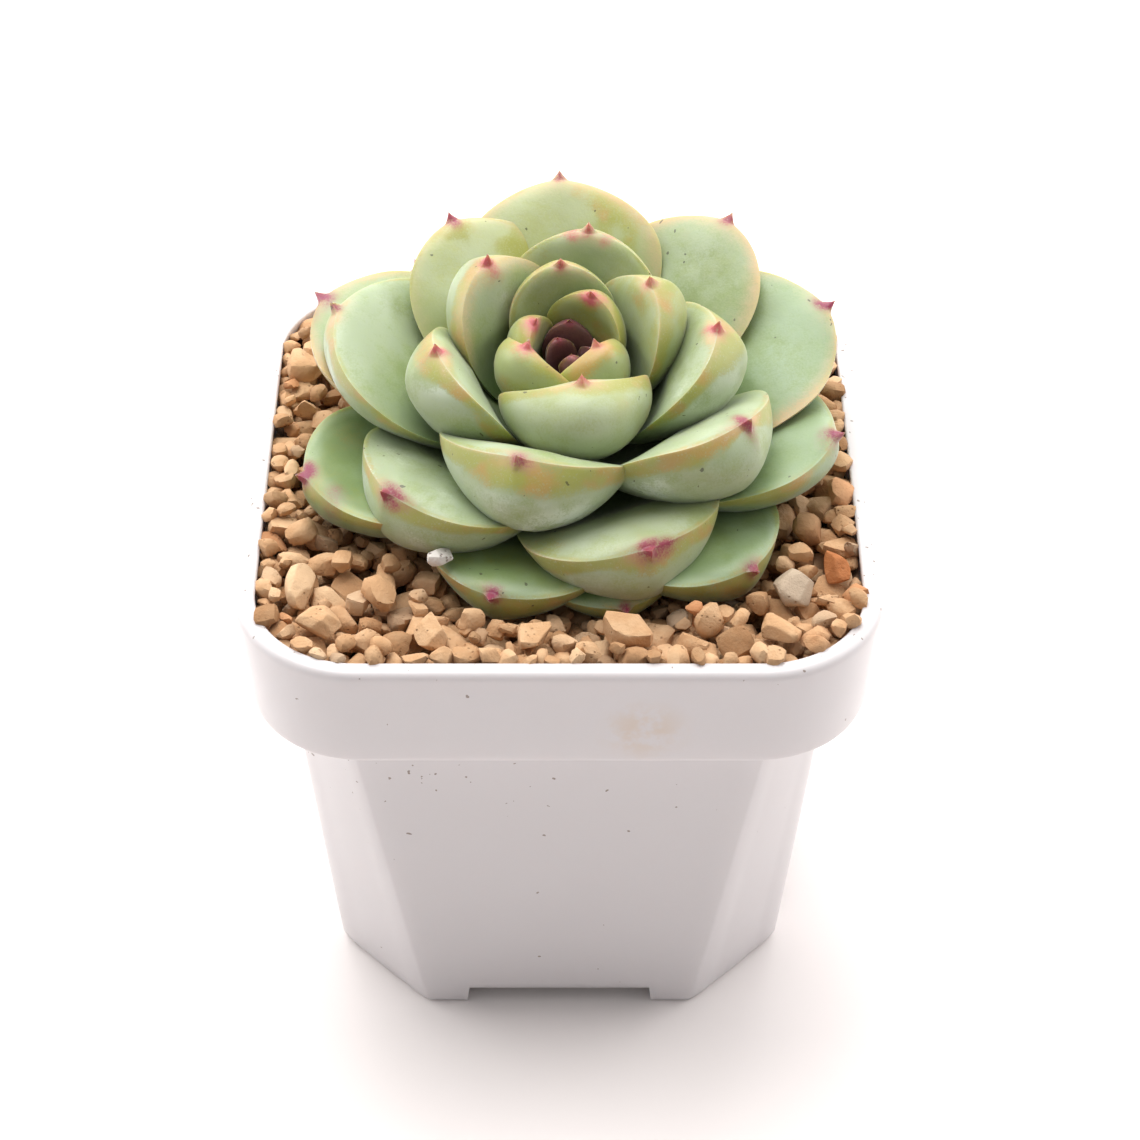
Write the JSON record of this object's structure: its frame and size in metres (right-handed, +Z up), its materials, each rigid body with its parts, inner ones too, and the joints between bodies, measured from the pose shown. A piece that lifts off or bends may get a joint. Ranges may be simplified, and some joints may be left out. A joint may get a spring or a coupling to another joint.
{
  "type": "potted succulent",
  "caption": "Rosette succulent with thick pale green leaves, set in tan gravel in a small square white pot with a rim band, cut corners and a drain hole.",
  "frame": {"origin": "centre of the pot's footprint on the ground", "axes": "+Z up along the pot's axis; the front faces -Y; +X to the right as seen from the front"},
  "size_m": [0.072, 0.072, 0.0869],
  "materials": {
    "pot_white": "satin white",
    "potting_mix": "dark crumbly",
    "gravel_tan": "rough, matte",
    "stone_tan": "rough, matte",
    "stone_cream": "rough, matte",
    "stone_grey": "rough, matte",
    "stone_red": "rough, matte",
    "crumb_white": "porous, matte",
    "stem_tan": "matte",
    "leaf_outer": "waxy bloom",
    "leaf_middle": "waxy bloom",
    "leaf_inner": "waxy bloom",
    "leaf_young": "waxy bloom",
    "leaf_heart": "waxy bloom"
  },
  "bodies": {
    "root": {"pot": "pot_white", "potting_mix": "potting_mix", "gravel_bed": "gravel_tan", "stem": "stem_tan", "leaf_e6": "leaf_heart", "leaf_e5": "leaf_heart", "leaf_e4": "leaf_heart", "leaf_e3": "leaf_heart", "leaf_e2": "leaf_heart", "leaf_e1": "leaf_heart", "leaf_d4": "leaf_young", "leaf_d3": "leaf_young", "leaf_d2": "leaf_young", "leaf_d1": "leaf_young", "leaf_c7": "leaf_inner", "leaf_c6": "leaf_inner", "leaf_c5": "leaf_inner", "leaf_c4": "leaf_inner", "leaf_c3": "leaf_inner", "leaf_c2": "leaf_inner", "leaf_c1": "leaf_inner", "leaf_b8": "leaf_middle", "leaf_b1": "leaf_middle", "leaf_b3": "leaf_middle", "leaf_b2": "leaf_middle", "leaf_b7": "leaf_middle", "leaf_b4": "leaf_middle", "leaf_b5": "leaf_middle", "leaf_b6": "leaf_middle", "leaf_a7": "leaf_outer", "leaf_a6": "leaf_outer", "leaf_a4": "leaf_outer", "leaf_a8": "leaf_outer", "leaf_a9": "leaf_outer", "leaf_a2": "leaf_outer", "leaf_a3": "leaf_outer", "leaf_a1": "leaf_outer", "leaf_a10": "leaf_outer", "leaf_a5": "leaf_outer", "stone_01": "stone_cream", "stone_02": "stone_grey", "stone_03": "stone_red", "stone_04": "stone_tan", "stone_05": "stone_tan", "stone_06": "stone_tan", "stone_07": "stone_tan", "stone_08": "stone_tan", "stone_09": "stone_tan", "stone_10": "stone_tan", "crumb_pale": "crumb_white"}
  },
  "joints": []
}
